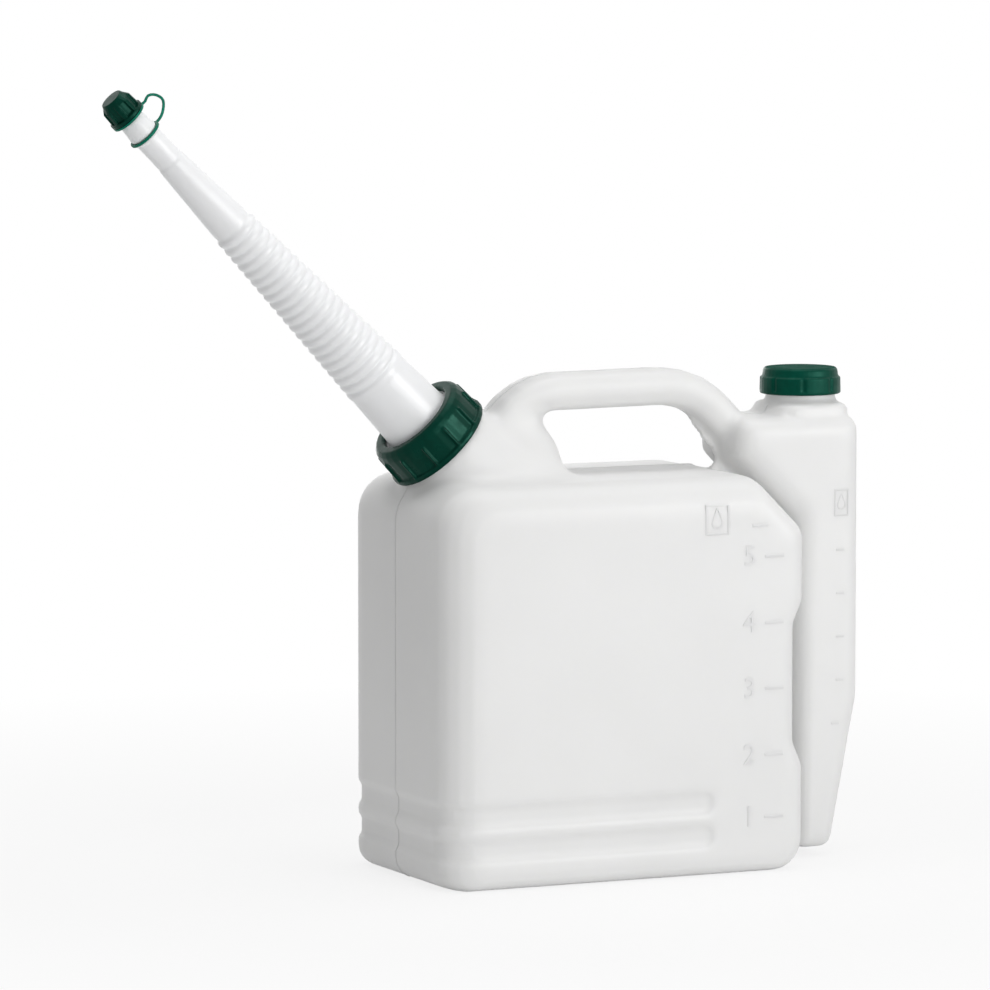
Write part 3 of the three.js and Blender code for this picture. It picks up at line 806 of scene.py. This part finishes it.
class CAN_OT_spout(bpy.types.Operator):
    """Corrugated spout, turned from its solid's own profile with every fold rounded"""

    bl_idname = "can.build_spout"
    bl_label = "Spout"

    def execute(self, context):
        colours = context.scene.can_finish
        profile = rounded(meridian("spout", NECK_BASE, NECK_AXIS), 1.0 * MM, 3)
        spout = revolved("spout_skin", profile, NECK_BASE, NECK_AXIS, 96)
        semi_gloss = milky_finish("spout polyethylene", colours.spout, 0.34, 3 * MM, 20, glow=0.15)
        finish_with(spout, semi_gloss)
        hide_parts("spout")
        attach(spout, "pourer")
        return {"FINISHED"}


def moulded_cap(node, size, passes, material, body):
    """A cap's or collar's solid with its edges rounded as a mould leaves them."""
    piece = resampled(node + "_skin", welded_copy(node), size)
    relaxed(piece, passes)
    smooth_shaded(piece)
    finish_with(piece, material)
    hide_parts(node)
    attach(piece, body)


class CAN_OT_caps(bpy.types.Operator):
    """Screw collar, tip cap and oil cap in dark green plastic"""

    bl_idname = "can.build_caps"
    bl_label = "Collar and caps"

    def execute(self, context):
        deep = context.scene.can_finish.green
        green = glossy_finish("dark green plastic", deep, 0.3)
        moulded_cap("spout_collar", 0.45 * MM, 4, green, "collar")
        moulded_cap("tip_cap", 0.22 * MM, 4, green, "tip")
        lighter = [min(1, c * 1.7) for c in deep]
        grained = glossy_finish("green plastic with a matt top", lighter, 0.38, matt_top=0.5)
        moulded_cap("chamber_cap", 0.4 * MM, 4, grained, "oil_cap")
        return {"FINISHED"}


class CAN_OT_tether(bpy.types.Operator):
    """Thin green tether between the tip cap and the spout"""

    bl_idname = "can.build_tether"
    bl_label = "Tether"

    def execute(self, context):
        tether = resampled("tether_skin", welded_copy("cap_tether"), 0.2 * MM)
        relaxed(tether, 2)
        smooth_shaded(tether)
        green = glossy_finish("tether plastic", context.scene.can_finish.tether, 0.34)
        finish_with(tether, green)
        heights = [(Vector(p) - NECK_BASE).dot(NECK_AXIS) for p in points_of(tether.data)]
        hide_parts("cap_tether")
        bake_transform(tether)
        return {"FINISHED"}


class CAN_OT_seals(bpy.types.Operator):
    """Finishes of the gasket and the oil cap's liner"""

    bl_idname = "can.finish_seals"
    bl_label = "Seals"

    def execute(self, context):
        colours = context.scene.can_finish
        gasket = frame["nodes"]["spout_gasket"]
        liner = frame["nodes"]["chamber_cap_liner"]
        finish_with(gasket, matt_finish("gasket rubber", colours.rubber, 900, 0.6))
        finish_with(liner, matt_finish("liner foam", colours.foam, 1500, 0.85))
        return {"FINISHED"}


# Stage

# The camera's turn and tilt, the picture's and sensor's width, and the scale in pixels a metre at the aim
CAMERA_YAW = math.radians(25)
CAMERA_PITCH = math.radians(5.6)
PIXELS = 990
SENSOR = 36
NEAR_SCALE = 1850
AIM = Vector((-48.9 * MM, 0, 205.6 * MM))
# Each lamp's place and the length of its sides, in metres, and the point they all face
KEY_LAMP = (Vector((0.4, -1.8, 0.5)), 0.8)
TOP_LAMP = (Vector((0.1, -0.1, 1.6)), 1.2)
BACK_LAMP = (Vector((0.3, 1.9, 0.35)), 1.0)
SIDE_LAMP = (Vector((0.81, -1.03, 0.49)), 0.5)
LAMPS_AIM = Vector((-60 * MM, 0, 150 * MM))
# Half the floor's length, and where it starts and ends to turn white, in metres
FLOOR_HALF = 6
WHITE_START, WHITE_END = 0.3, 0.8


def seen_directly(nodes, links):
    """1 for rays from the eye, from a mirror-like surface or through glass, 0 for plain light."""
    path = nodes.new("ShaderNodeLightPath")
    seen = path.outputs["Is Camera Ray"]
    for way in ("Is Glossy Ray", "Is Transmission Ray"):
        either = nodes.new("ShaderNodeMath")
        either.operation = "MAXIMUM"
        links.new(seen, either.inputs[0])
        links.new(path.outputs[way], either.inputs[1])
        seen = either.outputs["Value"]
    return seen


def add_lamp(name, placed, power):
    place, size = placed
    lamp = bpy.data.lights.new(name, "AREA")
    lamp.shape = "SQUARE"
    lamp.size = size
    lamp.energy = power
    holder = add_object(name, lamp)
    holder.location = place
    holder.rotation_euler = (LAMPS_AIM - place).to_track_quat("-Z", "Y").to_euler()
    return holder


class CAN_OT_stage(bpy.types.Operator):
    """Pale floor, soft lamps and the camera at the photograph's angle"""

    bl_idname = "can.build_stage"
    bl_label = "Stage"

    def execute(self, context):
        settings = context.scene.can_stage
        scene = context.scene
        scene.view_settings.view_transform = "Standard"
        camera = bpy.data.cameras.new("camera")
        camera.lens = settings.lens
        camera.sensor_width = SENSOR
        holder = add_object("camera", camera)
        ahead = Vector((
            math.sin(CAMERA_YAW) * math.cos(CAMERA_PITCH),
            math.cos(CAMERA_YAW) * math.cos(CAMERA_PITCH),
            -math.sin(CAMERA_PITCH),
        ))
        distance = settings.lens / SENSOR * PIXELS / NEAR_SCALE
        holder.location = AIM - ahead * distance
        holder.rotation_euler = ahead.to_track_quat("-Z", "Y").to_euler()
        scene.camera = holder

        add_lamp("key", KEY_LAMP, settings.key_power)
        add_lamp("top", TOP_LAMP, settings.top_power)
        add_lamp("back", BACK_LAMP, settings.back_power)
        shine = add_lamp("side", SIDE_LAMP, settings.side_power)
        shine.visible_diffuse = False

        world = bpy.data.worlds.new("sky")
        world.use_nodes = True
        scene.world = world
        nodes, links = world.node_tree.nodes, world.node_tree.links
        background = nodes["Background"]
        background.inputs["Color"].default_value = (1, 1, 1, 1)
        strength = nodes.new("ShaderNodeMapRange")
        strength.inputs["To Min"].default_value = settings.sky
        strength.inputs["To Max"].default_value = 1
        links.new(seen_directly(nodes, links), strength.inputs["Value"])
        links.new(strength.outputs["Result"], background.inputs["Strength"])

        bm = bmesh.new()
        bmesh.ops.create_grid(bm, x_segments=8, y_segments=8, size=FLOOR_HALF)
        floor = object_from_bmesh("floor", bm)
        material, nodes, links, shader = new_material("pale floor")
        shader.inputs["Base Color"].default_value = (0.9, 0.9, 0.9, 1)
        shader.inputs["Roughness"].default_value = 0.9
        shader.inputs["Specular IOR Level"].default_value = 0.1
        glow = nodes.new("ShaderNodeEmission")
        blend = nodes.new("ShaderNodeMixShader")
        # White to the eye far away, with the lamps' own light and shadow near the can
        place = nodes.new("ShaderNodeNewGeometry")
        away = nodes.new("ShaderNodeVectorMath")
        away.operation = "LENGTH"
        links.new(place.outputs["Position"], away.inputs[0])
        white = mapped(nodes, links, away.outputs["Value"], 0.8, 1, WHITE_START, WHITE_END)
        share = nodes.new("ShaderNodeMath")
        share.operation = "MULTIPLY"
        links.new(white, share.inputs[0])
        links.new(seen_directly(nodes, links), share.inputs[1])
        links.new(share.outputs["Value"], blend.inputs[0])
        links.new(shader.outputs["BSDF"], blend.inputs[1])
        links.new(glow.outputs["Emission"], blend.inputs[2])
        links.new(blend.outputs["Shader"], nodes["Material Output"].inputs["Surface"])
        floor.data.materials.append(material)
        return {"FINISHED"}


class CAN_PT_panel(bpy.types.Panel):
    """Lists the pieces and their settings"""

    bl_idname = "CAN_PT_panel"
    bl_label = "Measuring Can"
    bl_space_type = "VIEW_3D"
    bl_region_type = "UI"
    bl_category = "Measuring Can"

    def draw(self, context):
        layout = self.layout
        for group in (context.scene.can_skin, context.scene.can_finish, context.scene.can_stage):
            box = layout.box()
            for name in group.bl_rna.properties.keys():
                if name not in ("rna_type", "name"):
                    box.prop(group, name)
        for operator in OPERATORS:
            layout.operator(operator.bl_idname)


OPERATORS = (
    CAN_OT_stage, CAN_OT_tank, CAN_OT_seam, CAN_OT_scale, CAN_OT_threads, CAN_OT_spout,
    CAN_OT_caps, CAN_OT_tether, CAN_OT_seals,
)
CLASSES = (SkinSettings, FinishSettings, StageSettings, *OPERATORS, CAN_PT_panel)


def register():
    for cls in CLASSES:
        bpy.utils.register_class(cls)
    bpy.types.Scene.can_skin = PointerProperty(type=SkinSettings)
    bpy.types.Scene.can_finish = PointerProperty(type=FinishSettings)
    bpy.types.Scene.can_stage = PointerProperty(type=StageSettings)


def unregister():
    del bpy.types.Scene.can_stage
    del bpy.types.Scene.can_finish
    del bpy.types.Scene.can_skin
    for cls in reversed(CLASSES):
        bpy.utils.unregister_class(cls)


def main():
    register()
    bpy.ops.can.build_stage()
    bpy.ops.can.build_tank()
    bpy.ops.can.build_seam()
    bpy.ops.can.build_scale()
    bpy.ops.can.build_threads()
    bpy.ops.can.build_spout()
    bpy.ops.can.build_caps()
    bpy.ops.can.build_tether()
    bpy.ops.can.finish_seals()


if __name__ == "__main__":
    main()
